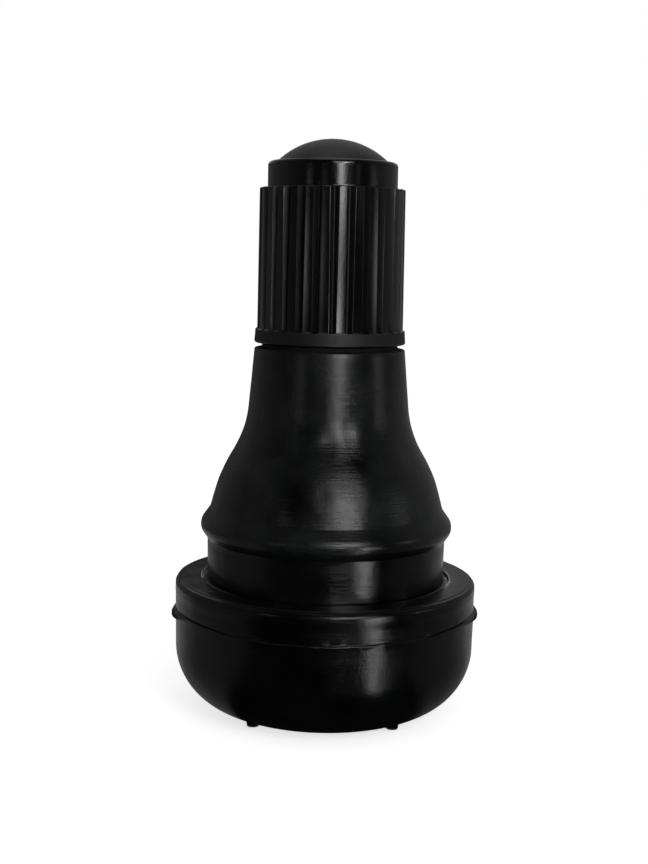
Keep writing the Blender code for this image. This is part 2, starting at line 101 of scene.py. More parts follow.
def addNode(tree, kind, inputs=None, **settings):
    return Outputs(tree, newNode(tree, kind, inputs, **settings))


def calc(operation, *values):
    tree = next(value.tree for value in values if isinstance(value, Wire))
    return addNode(tree, "ShaderNodeMath", dict(enumerate(values)), operation=operation)[0]


operators = {
    "add": "ADD", "sub": "SUBTRACT", "mul": "MULTIPLY", "truediv": "DIVIDE",
    "lt": "LESS_THAN", "gt": "GREATER_THAN",
}
for sign, operation in operators.items():
    setattr(Wire, f"__{sign}__", lambda one, two, kind=operation: calc(kind, one, two))
    setattr(Wire, f"__r{sign}__", lambda one, two, kind=operation: calc(kind, two, one))


def remap(value, fromLow, fromHigh, toLow=0.0, toHigh=1.0, smooth=False):
    given = dict(enumerate((value, fromLow, fromHigh, toLow, toHigh)))
    kind = "SMOOTHSTEP" if smooth else "LINEAR"
    return addNode(value.tree, "ShaderNodeMapRange", given, interpolation_type=kind, clamp=True)[0]


def mixNumber(share, first, second):
    return addNode(share.tree, "ShaderNodeMix", {0: share, 2: first, 3: second}, data_type="FLOAT")[0]


def mixColor(share, *colors):
    first, second = ((*color, 1.0) if isinstance(color, tuple) else color for color in colors)
    return addNode(share.tree, "ShaderNodeMix", {0: share, 6: first, 7: second}, data_type="RGBA")[2]


def addNoise(tree, place, scale, detail, roughness, seed):
    inputs = {"Vector": place, "W": seed, "Scale": scale, "Detail": detail, "Roughness": roughness}
    return addNode(tree, "ShaderNodeTexNoise", inputs, noise_dimensions="4D")[0]


def joinParts(tree, x=0.0, y=0.0, z=0.0):
    return addNode(tree, "ShaderNodeCombineXYZ", {"X": x, "Y": y, "Z": z})[0]


def splitPlace(tree, place):
    return addNode(tree, "ShaderNodeSeparateXYZ", {"Vector": place})


number = "NodeSocketFloat"
geometry = "NodeSocketGeometry"
socketTypes = {float: number, int: "NodeSocketInt", type(None): geometry}


def newGroup(name, kind, inputs, outputs):
    # inputs by name with their defaults, outputs by name with their types
    group = bpy.data.node_groups.new(name, kind)
    for label, value in inputs.items():
        socket = group.interface.new_socket(label, in_out="INPUT", socket_type=socketTypes[type(value)])
        if value is not None:
            socket.default_value = value
    for label, socketType in outputs.items():
        group.interface.new_socket(label, in_out="OUTPUT", socket_type=socketType)
    return group, addNode(group, "NodeGroupInput"), newNode(group, "NodeGroupOutput").inputs


def newShaping(name, **inputs):
    # a Geometry Nodes tree: a geometry in, and the changed geometry out
    return newGroup(name, "GeometryNodeTree", {"geometry": None, **inputs}, {"geometry": geometry})


# Shader groups that several finishes share
def makeMillimetres():
    # object coordinates in millimetres, squeezed across the axis so that a pattern runs round it
    inputs = {"across": 1.0, "along": 1.0}
    group, given, out = newGroup("roundTheAxis", "ShaderNodeTree", inputs, {"place": "NodeSocketVector"})
    parts = splitPlace(group, addNode(group, "ShaderNodeTexCoord")["Object"])
    across = given.across * (1 / mm)
    along = given.along * (1 / mm)
    setSocket(out["place"], joinParts(group, parts["X"] * across, parts["Y"] * across, parts["Z"] * along))


def useGroup(tree, name, **values):
    return addNode(tree, "ShaderNodeGroup", values, node_tree=bpy.data.node_groups[name])


def makeGrain():
    # fine uneven surface: a height, and a slow cloud that varies gloss and colour
    inputs = {"grainSize": 0.1, "cloudSize": 3.0, "seed": 0.0}
    group, given, out = newGroup("surfaceGrain", "ShaderNodeTree", inputs, {"height": number, "cloud": number})
    place = useGroup(group, "roundTheAxis")[0]
    setSocket(out["height"], addNoise(group, place, 1.0 / given.grainSize, 3.0, 0.6, given.seed))
    slow = addNoise(group, place, 1.0 / given.cloudSize, 4.0, 0.55, given.seed + 7.0)
    setSocket(out["cloud"], remap(slow, 0.32, 0.68))


def makeTurningMarks():
    # fine rings round the axis, as a turned mould or a lathe leaves them
    inputs = {"pitch": 0.12, "breaks": 0.2, "seed": 0.0}
    group, given, out = newGroup("turningMarks", "ShaderNodeTree", inputs, {"height": number})
    place = useGroup(group, "roundTheAxis", across=given.breaks, along=1.0 / given.pitch)[0]
    setSocket(out["height"], addNoise(group, place, 1.0, 2.0, 0.7, given.seed))


def makeSpecks():
    # scattered tiny specks: dust, pits and moulding blobs
    inputs = {"spacing": 1.0, "size": 0.06, "share": 0.5}
    group, given, out = newGroup("specks", "ShaderNodeTree", inputs, {"mask": number})
    cells = addNode(group, "ShaderNodeTexVoronoi", {
        "Vector": useGroup(group, "roundTheAxis")[0], "Scale": 1.0 / given.spacing, "Randomness": 1.0,
    }, feature="F1")
    pick = addNode(group, "ShaderNodeSeparateColor", {"Color": cells["Color"]})
    size = given.size * (0.4 + pick[1])
    spot = remap(cells["Distance"] * given.spacing, size, size * 0.4, 0.0, 1.0, smooth=True)
    setSocket(out["mask"], spot * (pick[0] < given.share))


def startMaterial(name):
    finish = bpy.data.materials.new(name)
    finish.use_nodes = True
    return finish, finish.node_tree


def paint(finish, **values):
    # sets the surface shader's sockets, named in camel case
    shader = finish.node_tree.nodes["Principled BSDF"].inputs
    labels = {"".join(socket.name.split()).lower(): socket for socket in shader}
    for name, value in values.items():
        setSocket(labels[name.lower()], value)
    return finish


def addBump(height, depth, normal=None):
    # depth is the height of the relief in millimetres
    inputs = {"Height": height, "Distance": depth * mm, "Strength": 1.0}
    if normal:
        inputs["Normal"] = normal
    return addNode(height.tree, "ShaderNodeBump", inputs)["Normal"]


def heightOf(tree):
    # height over the feet in millimetres
    return splitPlace(tree, addNode(tree, "ShaderNodeTexCoord")["Object"])["Z"] / mm


def radiusOf(tree):
    # distance from the axis in millimetres
    parts = splitPlace(tree, addNode(tree, "ShaderNodeTexCoord")["Object"])
    flat = joinParts(tree, parts["X"], parts["Y"])
    return addNode(tree, "ShaderNodeVectorMath", {0: flat}, operation="LENGTH")["Value"] / mm


rubberLook = Values(
    dark=(0.0006, 0.0008, 0.0008), pale=(0.0022, 0.0027, 0.0026),
    # this colour is partly a mottled dusty bloom and partly painted light: it makes the neck and the bulb paler
    # than the groove and the base, which stay painted darker
    bloom=(0.0085, 0.0100, 0.0092),      # on the neck and the bulb
    dust=(0.16, 0.16, 0.15),
    satin=0.21,      # neck and bulb
    gloss=0.17,      # groove, flange and base
    glossTop=12.9, roughSpread=0.14, flashRoughness=0.75, flashRadius=10.93, specular=0.4,
    markPitch=0.12, markDepth=0.018, grainSize=0.13, grainDepth=0.014, blobDepth=0.02,
)


def makeRubber():
    look = rubberLook
    finish, tree = startMaterial("mouldedRubber")
    grain = useGroup(tree, "surfaceGrain", grainSize=look.grainSize, cloudSize=3.4)
    marks = useGroup(tree, "turningMarks", pitch=look.markPitch, breaks=0.35)
    dust = useGroup(tree, "specks", spacing=1.7, size=0.035, share=0.35)
    blobs = useGroup(tree, "specks", spacing=2.6, size=0.34, share=0.3)
    # painted light: a paler tone above the bead, mottled like a dusty bloom, so that the groove and the base
    # below stay darker as painted shade
    bloom = remap(heightOf(tree), look.glossTop - 0.3, look.glossTop + 0.5)
    tone = mixColor(grain.cloud, look.dark, look.pale)
    tone = mixColor(bloom * grain.cloud, tone, look.bloom)
    tone = mixColor(dust.mask, tone, look.dust)
    base = remap(heightOf(tree), look.glossTop - 0.3, look.glossTop + 0.3, look.gloss, look.satin)
    wear = (grain.cloud + marks.height) * look.roughSpread
    rough = base + wear - look.roughSpread * 0.8
    torn = remap(radiusOf(tree), look.flashRadius, look.flashRadius + 0.03, 0.0, look.flashRoughness)
    neckTop = bodySizes.neckTopHeight
    hidden = remap(heightOf(tree), neckTop - 0.06, neckTop, 0.0, look.flashRoughness)
    rough = calc("MAXIMUM", calc("MAXIMUM", rough, torn), hidden)
    normal = addBump(marks.height, look.markDepth)
    normal = addBump(grain.height, look.grainDepth, normal)
    normal = addBump(blobs.mask, look.blobDepth, normal)
    return paint(finish, baseColor=tone, roughness=rough, specularIorLevel=look.specular, normal=normal)


capLook = Values(
    dark=(0.0016, 0.0018, 0.0021), pale=(0.0032, 0.0035, 0.0040), dome=(0.0045, 0.0048, 0.0050),
    glossRoughness=0.07, scuffRoughness=0.13, crestRoughness=0.07, flankRoughness=0.60,
    rimRoughness=0.55, domeRoughness=0.42, specular=0.5, domeGrainDepth=0.020, moulding=0.003,
)


def makeCapPlastic():
    look = capLook
    finish, tree = startMaterial("capPlastic")
    grain = useGroup(tree, "surfaceGrain", grainSize=0.09, cloudSize=1.6, seed=3.0)
    marks = useGroup(tree, "turningMarks", pitch=0.45, breaks=1.6, seed=5.0)
    dust = useGroup(tree, "specks", spacing=1.3, size=0.03, share=0.3)
    height = heightOf(tree)
    domeStart = level("valve_cap", 1) - capSizes.domeHeight
    rimTop = level("valve_cap", 0) + capSizes.rimHeight
    dome = remap(height, domeStart + 0.02, domeStart + 0.1)
    tone = mixColor(grain.cloud, look.dark, look.pale)
    tone = mixColor(dome, tone, look.dome)
    tone = mixColor(dust.mask, tone, rubberLook.dust)
    gloss = remap(grain.cloud, 0.2, 1.0, look.glossRoughness, look.scuffRoughness)
    # crests are glossy, and the flanks between them satin
    crest = remap(height, rimTop, rimTop + capSizes.ribHeight, capSizes.ribRadius, capSizes.ribTopRadius)
    fromCrest = radiusOf(tree) - crest
    flank = remap(fromCrest, -0.05, -0.008, look.flankRoughness, look.crestRoughness)
    collarStart = domeStart - capSizes.collarHeight
    flank = mixNumber(remap(height, collarStart, collarStart + 0.05), flank, 0.0)
    gloss = calc("MAXIMUM", gloss, flank)
    rimFoot = level("valve_cap", 0)
    # the rim is satin between its glossy edges
    upperEdge = remap(height, rimTop - 0.12, rimTop - 0.04)
    lowerEdge = remap(height, rimFoot + 0.12, rimFoot + 0.05)
    onRim = mixNumber(calc("MAXIMUM", upperEdge, lowerEdge), look.rimRoughness, look.glossRoughness)
    gloss = mixNumber(remap(height, rimTop - 0.02, rimTop), onRim, gloss)
    gloss = mixNumber(dome, gloss, look.domeRoughness)
    normal = addBump(marks.height, look.moulding)
    satin = grain.height * calc("MAXIMUM", dome, 0.25)
    normal = addBump(satin, look.domeGrainDepth, normal)
    return paint(finish, baseColor=tone, roughness=gloss, specularIorLevel=look.specular, normal=normal)


brassLook = Values(
    bright=(0.74, 0.52, 0.22), tarnished=(0.46, 0.29, 0.11), brightRoughness=0.2,
    tarnishedRoughness=0.42, markPitch=0.05, markDepth=0.0014, grainDepth=0.0006,
)


def makeBrass():
    look = brassLook
    finish, tree = startMaterial("turnedBrass")
    grain = useGroup(tree, "surfaceGrain", grainSize=0.07, cloudSize=1.6, seed=11.0)
    marks = useGroup(tree, "turningMarks", pitch=look.markPitch, breaks=0.1, seed=2.0)
    tone = mixColor(remap(grain.cloud, 0.35, 1.0, 0.0, 0.75), look.bright, look.tarnished)
    rough = remap(grain.cloud, 0.2, 1.0, look.brightRoughness, look.tarnishedRoughness)
    normal = addBump(grain.height, look.grainDepth, addBump(marks.height, look.markDepth))
    return paint(finish, baseColor=tone, roughness=rough, metallic=1.0, normal=normal)


# plain finishes of the small seals and the spring
plainLooks = {
    "sealRubber": Values(
        dark=(0.012, 0.012, 0.012), pale=(0.025, 0.025, 0.025), roughness=0.6, spread=0.07,
        metallic=0.0, grainSize=0.08, cloudSize=1.2, grainDepth=0.002, seed=31.0,
    ),
    "gasketPolymer": Values(
        dark=(0.62, 0.07, 0.05), pale=(0.75, 0.12, 0.08), roughness=0.42, spread=0.07,
        metallic=0.0, grainSize=0.07, cloudSize=1.2, grainDepth=0.001, seed=41.0,
    ),
    "springSteel": Values(
        dark=(0.63, 0.62, 0.6), pale=(0.42, 0.41, 0.4), roughness=0.28, spread=0.08,
        metallic=1.0, grainSize=0.04, cloudSize=0.6, grainDepth=0.0005, seed=21.0,
    ),
}


def makePlainFinish(name):
    look = plainLooks[name]
    finish, tree = startMaterial(name)
    grain = useGroup(tree, "surfaceGrain", grainSize=look.grainSize, cloudSize=look.cloudSize, seed=look.seed)
    tone = mixColor(grain.cloud, look.dark, look.pale)
    rough = remap(grain.cloud, 0.0, 1.0, look.roughness - look.spread, look.roughness + look.spread)
    normal = addBump(grain.height, look.grainDepth)
    return paint(finish, baseColor=tone, roughness=rough, metallic=look.metallic, normal=normal)


# Turned shapes: a path of corners with fillets, spun into a closed mesh
def roundedPath(corners, chordGap=0.0015):
    count = len(corners)
    spots = [Vector(corner[:2]) for corner in corners]
    fillets = [corner[2] if len(corner) > 2 else 0.0 for corner in corners]
    turns = []
    for i in range(count):
        before, after = spots[i - 1] - spots[i], spots[(i + 1) % count] - spots[i]
        turns.append(math.pi - before.angle(after) if fillets[i] else 0.0)
    wants = [fillets[i] * math.tan(turns[i] / 2) for i in range(count)]
    points = []
    for i, here in enumerate(spots):
        if not fillets[i]:
            points.append(here)
            continue
        before, after = spots[i - 1] - here, spots[(i + 1) % count] - here
        # neighbouring fillets share the straight between them
        share = min(
            1.0,
            0.98 * before.length / (wants[i] + wants[i - 1]),
            0.98 * after.length / (wants[i] + wants[(i + 1) % count]),
        )
        fillet, turn = fillets[i] * share, turns[i]
        start = here + before.normalized() * fillet * math.tan(turn / 2)
        middle = (before.normalized() + after.normalized()).normalized()
        centre = here + middle * (fillet / math.cos(turn / 2))
        steps = max(3, math.ceil(turn / (2 * math.acos(1 - chordGap / fillet))))
        sense = 1 if before.cross(after) < 0 else -1
        for k in range(steps + 1):
            points.append(centre + Matrix.Rotation(sense * turn * k / steps, 2) @ (start - centre))
    return points


def divided(points, step, low, high, widest=1e9):
    # adds points along straight stretches between two heights, up to a greatest radius
    result = [points[0]]
    for here, there in zip(points, points[1:] + points[:1]):
        inside = low - 1e-6 <= min(here.y, there.y) and max(here.y, there.y) <= high + 1e-6
        inside = inside and 1e-6 < min(here.x, there.x) and max(here.x, there.x) <= widest
        count = max(1, round((there - here).length / step)) if inside else 1
        result += [here.lerp(there, k / count) for k in range(1, count + 1)]
    return result[:-1]


def addMesh(name, shape):
    # a new object from a bmesh
    mesh = bpy.data.meshes.new(name)
    shape.to_mesh(mesh)
    shape.free()
    piece = bpy.data.objects.new(name, mesh)
    bpy.context.scene.collection.objects.link(piece)
    return piece


def spun(name, points, segments, start=0.0):
    # the path runs down the outer side and back up the bore, or ends on the axis at both ends
    shape = bmesh.new()
    rings = []
    for point in points:
        if point.x < 1e-6:
            rings.append([shape.verts.new((0.0, 0.0, point.y * mm))])
            continue
        ring = []
        for k in range(segments):
            angle = math.tau * k / segments + math.radians(start)
            ring.append(shape.verts.new((
                point.x * mm * math.cos(angle), point.x * mm * math.sin(angle), point.y * mm,
            )))
        rings.append(ring)
    closed = len(rings[0]) > 1
    for upper, lower in zip(rings, rings[1:] + rings[:1] if closed else rings[1:]):
        for k in range(segments):
            nextOne = (k + 1) % segments
            if len(upper) == 1:
                shape.faces.new((upper[0], lower[k], lower[nextOne]))
            elif len(lower) == 1:
                shape.faces.new((upper[k], lower[0], upper[nextOne]))
            else:
                shape.faces.new((upper[k], lower[k], lower[nextOne], upper[nextOne]))
    return addMesh(name, shape)


def addTree(piece, tree, **values):
    modifier = piece.modifiers.new(tree.name, "NODES")
    modifier.node_group = tree
    for item in tree.interface.items_tree:
        if item.item_type == "SOCKET" and item.in_out == "INPUT" and item.name in values:
            modifier[item.identifier] = values[item.name]


def settle(piece, finish, body, nodes, sharpAngle=35.0):
    # turns the evaluated piece into a plain mesh, shades it and seats it on its body
    evaluated = piece.evaluated_get(bpy.context.evaluated_depsgraph_get())
    mesh = bpy.data.meshes.new_from_object(evaluated)
    piece.modifiers.clear()
    piece.data = mesh
    mesh.name = piece.name
    mesh.materials.clear()
    mesh.materials.append(finish)
    mesh.polygons.foreach_set("material_index", [0] * len(mesh.polygons))
    mesh.shade_smooth()
    mesh.set_sharp_from_angle(angle=math.radians(sharpAngle))
    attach(piece, body)
    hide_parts(*nodes)
    triangles = sum(len(face.vertices) - 2 for face in mesh.polygons)
    print(f"{piece.name}: {triangles} triangles on {body}")
    return piece


# Geometry Nodes trees
def polar(tree):
    # radius in millimetres, share of a turn and height in millimetres of each point
    parts = splitPlace(tree, addNode(tree, "GeometryNodeInputPosition")[0])
    across = calc("SQRT", parts["X"] * parts["X"] + parts["Y"] * parts["Y"])
    angle = calc("ARCTAN2", parts["Y"], parts["X"])
    return across / mm, angle / math.tau, parts["Z"] / mm


def placeFrom(radius, share, height):
    # the inverse of polar
    angle = share * math.tau
    across = radius * mm
    return joinParts(radius.tree, across * calc("COSINE", angle), across * calc("SINE", angle), height * mm)


def moveAndClose(tree, given, out, chosen, place):
    moved = {"Geometry": given.geometry, "Selection": chosen, "Position": place}
    setSocket(out["geometry"], addNode(tree, "GeometryNodeSetPosition", moved)[0])
    return tree


def between(height, low, high):
    # 1 from low to high, both included
    return (height > low - 1e-4) * (height < high + 1e-4)


def makeThreadTree():
    # cuts a right-handed thread into the wall at one radius, outside or in a bore
    tree, given, out = newShaping(
        "thread", radius=3.85, pitch=0.8, depth=0.4, low=0.0, high=10.0, lowRunOut=0.5, highRunOut=0.5,
        crestShare=0.14, rootShare=0.14,
    )
    radius, share, height = polar(tree)
    turns = height / given.pitch - share
    wave = abs(calc("FRACT", turns) * 2.0 - 1.0)
    flank = remap(wave, given.crestShare, 1.0 - given.rootShare)
    rise = remap(height, given.low, given.low + given.lowRunOut, smooth=True)
    fall = remap(height, given.high - given.highRunOut, given.high, 1.0, 0.0, smooth=True)
    cut = flank * given.depth * (rise * fall)
    onWall = abs(radius - given.radius) < 0.004
    chosen = onWall * between(height, given.low, given.high)
    return moveAndClose(tree, given, out, chosen, placeFrom(radius - cut, share, height))


def makeRibTree():
    # presses grip ribs into a turned wall: flat crests with rounded edges, steep flanks, narrow floors
    tree, given, out = newShaping(
        "gripRibs", ribs=28.0, firstRib=0.0, low=0.0, high=10.0, wallRadius=4.9, valleyRadius=4.6,
        lowCrest=0.6, highCrest=0.5, floor=0.08, lowEdge=0.03, highEdge=0.06, edgeTurn=1.0,
    )
    radius, share, height = polar(tree)
    ribs = (share - given.firstRib) * given.ribs
    centre = calc("ROUND", ribs)
    off = ribs - centre
    side = calc("SIGN", off)
    step = abs(off) * 2.0
    halfPitch = radius * math.pi / given.ribs
    # the seven even steps of half a rib: two on the crest, two round its edge, two down the flank, one floor
    edge = remap(height, given.low, given.high, given.lowEdge, given.highEdge)
    edgeShare = edge * calc("SINE", given.edgeTurn) / halfPitch
    crest = remap(height, given.low, given.high, given.lowCrest, given.highCrest)
    flat = crest - edgeShare
    flankWidth = 1.0 - given.floor - crest
    onCrest = flat * (remap(step, 0.0, 1 / 7, 0.0, 0.85) + remap(step, 1 / 7, 2 / 7, 0.0, 0.15))
    turn = remap(step, 2 / 7, 4 / 7, 0.0, given.edgeTurn)
    onEdge = edge * calc("SINE", turn) / halfPitch
    flank = remap(step, 4 / 7, 6 / 7)
    onFloor = remap(step, 6 / 7, 1.0, 0.0, given.floor)
    across = onCrest + onEdge + (flank * flankWidth + onFloor)
    edgeDrop = edge * (1.0 - calc("COSINE", turn))
    fullDrop = edge * (1.0 - calc("COSINE", given.edgeTurn))
    rest = radius - given.valleyRadius - fullDrop
    depth = edgeDrop + flank * rest
    turned = across * 0.5 * side
    newShare = (centre + turned) / given.ribs + given.firstRib
    chosen = (radius > given.wallRadius) * between(height, given.low, given.high)
    return moveAndClose(tree, given, out, chosen, placeFrom(radius - depth, newShare, height))


def makeFlashTree():
    # lets the parting flash wander and tear, with a longer flap where the mould halves vent
    tree, given, out = newShaping(
        "partingFlash", wall=10.8, level=7.4, band=0.3, reach=0.34, frontReach=0.3, wander=0.1,
        flapWidth=0.06, leftDroop=0.3, rightDroop=0.1, sideThickness=2.0, waves=4.0, seed=1.0,
    )
    radius, share, height = polar(tree)
    angle = share * math.tau
    ring = joinParts(tree, calc("COSINE", angle), calc("SINE", angle))
    slow = addNoise(tree, ring, given.waves, 2.0, 0.5, given.seed)
    torn = addNoise(tree, ring, given.waves * 5.0, 4.0, 0.7, given.seed + 5.0)
    proud = radius - given.wall
    edge = remap(proud, 0.0, given.reach)
    toSide = abs(calc("SINE", angle))
    flap = remap(toSide, given.flapWidth, given.flapWidth * 0.35, smooth=True)
    facing = remap(toSide, 0.84, 0.97, 0.06, 1.0)
    front = given.frontReach * facing * remap(torn, 0.42, 0.6, 0.1, 1.0)
    tornSide = remap(torn, 0.3, 0.7, 0.8, 1.0)
    reach = flap * tornSide + (1.0 - flap) * front
    newRadius = given.wall + proud * reach
    lift = (slow - 0.5) * (given.wander * 2.0)
    onLeft = calc("COSINE", angle) < 0.0
    droopHere = mixNumber(onLeft, given.rightDroop, given.leftDroop)
    droop = flap * (edge + 0.6) * (droopHere * -0.62)
    sideways = remap(toSide, 0.84, 0.6, smooth=True)
    gap = abs(height - given.level)
    near = remap(gap, given.band, given.band * 3.0, 1.0, 0.0, smooth=True)
    thicker = sideways * near * (given.sideThickness - 1.0)
    spread = (height - given.level) * thicker
    shift = (lift + droop) * near
    newHeight = height + (shift + spread)
    notch = proud * near * (sideways * 1.3 - 0.5)
    wallRadius = radius + notch
    chosen = (radius > given.wall - 0.15) * (near > 0.0)
    proudOnly = addNode(tree, "GeometryNodeSwitch", {
        "Switch": proud > 0.002, "False": wallRadius, "True": newRadius,
    }, input_type="FLOAT")[0]
    return moveAndClose(tree, given, out, chosen, placeFrom(proudOnly, share, newHeight))


def makeFeetTree():
    # little moulded pegs on a circle under the base, each sunk into it at the root
    tree, given, out = newShaping(
        "standingFeet", count=4, circleRadius=0.0069, footRadius=0.00055, height=0.0006,
    )
    circle = addNode(tree, "GeometryNodeMeshCircle", {"Vertices": given.count, "Radius": given.circleRadius})[0]
    turned = addNode(tree, "GeometryNodeTransform", {
        "Geometry": circle, "Rotation": joinParts(tree, z=math.pi / given.count),
        "Translation": joinParts(tree, z=given.height * 0.5),
    })[0]
    peg = addNode(tree, "GeometryNodeMeshCone", {
        "Vertices": 24, "Side Segments": 2, "Radius Top": given.footRadius,
        "Radius Bottom": given.footRadius * 0.86, "Depth": given.height,
    })[0]
    seated = addNode(tree, "GeometryNodeTransform", {
        "Geometry": peg, "Translation": joinParts(tree, z=given.height * -0.5),
    })[0]
    copies = addNode(tree, "GeometryNodeInstanceOnPoints", {"Points": turned, "Instance": seated})[0]
    joined = addNode(tree, "GeometryNodeJoinGeometry")
    for shape in (copies, given.geometry):
        setSocket(joined.node.inputs[0], shape)
    setSocket(out["geometry"], addNode(tree, "GeometryNodeRealizeInstances", {"Geometry": joined[0]})[0])
    return tree


def makeUnevenTree():
    # a few hundredths of slow unevenness on moulded rubber, held off its seat, bore and feet
    tree, given, out = newShaping(
        "unevenRubber", amount=0.02, size=5.0, innerRadius=4.6, low=1.0, high=26.0, seed=3.0,
    )
    radius, share, height = polar(tree)
    place = addNode(tree, "GeometryNodeInputPosition")[0]
    rough = addNoise(tree, place, 1 / mm / given.size, 2.0, 0.5, given.seed)
    fade, middle = 1.5, 0.62        # a middle over one half presses more in than out
    rise = remap(height, given.low, given.low + fade)
    fall = remap(height, given.high - fade, given.high, 1.0, 0.0)
    amount = (rough - middle) * (given.amount * (mm * 2)) * (rise * fall)
    outwards = addNode(tree, "GeometryNodeInputNormal")[0]
    offset = addNode(tree, "ShaderNodeVectorMath", {0: outwards, "Scale": amount}, operation="SCALE")[0]
    setSocket(out["geometry"], addNode(tree, "GeometryNodeSetPosition", {
        "Geometry": given.geometry, "Selection": radius > given.innerRadius, "Offset": offset,
    })[0])
    return tree


def makeSpringTree():
    # a coil of round wire with closed end turns
    tree, given, out = newShaping(
        "coilSpring", turns=6.0, steps=240, radius=0.88, bottom=24.85, length=5.6, wire=0.22,
        closedPitch=0.246,
    )
    along = addNode(tree, "GeometryNodeInputIndex")[0] / (given.steps - 1.0)
    turns = along * given.turns
    openTurns = given.turns - 2.0
    opened = remap(turns, 1.0, openTurns + 1.0, 0.0, openTurns)
    rise = given.length - given.wire - given.closedPitch * 2.0
    height = given.closedPitch * (turns - opened) + rise / openTurns * opened
    bottom = given.bottom + given.wire / 2.0
    coiled = addNode(tree, "GeometryNodeSetPosition", {
        "Geometry": addNode(tree, "GeometryNodeMeshLine", {"Count": given.steps})[0],
        "Position": placeFrom(given.radius, turns, bottom + height),
    })[0]
    path = addNode(tree, "GeometryNodeMeshToCurve", {"Mesh": coiled})[0]
    outline = {"Resolution": 12, "Radius": given.wire * (mm / 2)}
    section = addNode(tree, "GeometryNodeCurvePrimitiveCircle", outline)[0]
    setSocket(out["geometry"], addNode(tree, "GeometryNodeCurveToMesh", {
        "Curve": path, "Profile Curve": section, "Fill Caps": True,
    })[0])
    return tree


# Rubber body
bodySizes = Values(
    footHeight=0.3, footRadius=0.50, footCircleRadius=6.9, footCount=4, flangeRadius=10.84,
    flangeDraft=0.10, baseRounding=4.6, wallLineHeight=8.79, lineStep=0.02, flashReach=0.30,
    flashHalfThickness=0.07, flashDrop=2.33, flashGroove=0.11, seatHeight=9.78, seatEdgeRadius=10.44,
    seatStep=0.06, seatRoundingDrop=0.34, moatDepth=0.2, moatRadius=8.9, grooveRadius=8.56,
    beadHeight=12.63, beadRadius=9.05, beadNoseHeight=0.97, beadNoseRounding=0.9, beadNoseSlope=35.0,
    bulbRadius=8.4, bulbHeight=14.78, bulbTaper=0.28, bulbTopHeight=17.48, bulbRounding=9.5,
    flareTaper=0.6, flareTopHeight=20.4, flareRounding=7.5, neckTopRadius=5.35, neckTopHeight=26.25,
    collarRadius=4.83, recessRadius=4.3, recessDepth=0.9, segments=288,
)

stemSizes = Values(
    bondGap=0.05, threadRadius=3.85, threadPitch=0.79375, threadDepth=0.40, noseChamfer=0.5,
    threadRunOut=0.6, shankRadius=3.55, grooveCount=2, groovePitch=4.2, grooveDepth=0.45,
    grooveWidth=1.4, grooveDrop=6.0, footRadius=6.2, footEdge=1.0, footCone=2.4, footFillet=1.2,
    footClearance=2.2, bossRadius=3.3, passageRadius=1.3, coreThreadRadius=2.65,
    coreThreadPitch=25.4 / 36, coreThreadDepth=0.3, coreThreadLength=5.6, coneTopRadius=2.3,
    coneLength=1.6, chamberRadius=1.95, chamberDepth=16.9, mouthChamfer=0.3, segments=160,
)


def bondedPath(gap):
    # outside of the stem where the rubber grips it, downwards
    size = stemSizes
    shank, boss, foot = size.shankRadius + gap, size.bossRadius + gap, size.footRadius + gap
    roof = bodySizes.footHeight + bodySizes.recessDepth
    floor = roof + size.footClearance
    flank = size.grooveWidth / 4
    path = []
    for i in range(size.grooveCount):
        top = bodySizes.neckTopHeight - size.grooveDrop - i * size.groovePitch
        path += [
            (shank, top), (shank - size.grooveDepth, top - flank),
            (shank - size.grooveDepth, top - size.grooveWidth + flank), (shank, top - size.grooveWidth),
        ]
    return path + [
        (shank, floor + size.footEdge + size.footCone, size.footFillet), (foot, floor + size.footEdge),
        (foot, floor - gap), (boss, floor - gap), (boss, roof),
    ]


# turn from the camera's side in degrees, height, reach and depth in millimetres of shallow moulding dents
dentInside = 4.5        # the bore stays smooth
dents = [
    (13.0, 20.9, 0.55, 0.05), (1.0, 20.3, 0.70, 0.06), (-2.0, 16.9, 0.60, 0.05), (6.0, 19.6, 0.90, -0.04),
    (16.0, 15.4, 0.80, -0.04), (118.0, 19.0, 0.80, 0.05), (-97.0, 17.6, 0.90, 0.05),
    (170.0, 20.6, 0.70, 0.05),
]


def pressDents(body):
    for turn, height, reach, depth in dents:
        angle = math.radians(turn)
        outward = Vector((math.sin(angle), -math.cos(angle), 0.0))
        for vertex in body.data.vertices:
            place = vertex.co / mm
            flat = math.hypot(place.x, place.y)
            if abs(place.z - height) > 3 * reach or flat < dentInside or place.dot(outward) < 0.0:
                continue
            middle = outward * flat + Vector((0.0, 0.0, height))
            share = math.exp(-((place - middle).length / reach) ** 2)
            vertex.co -= outward * (depth * share * mm)


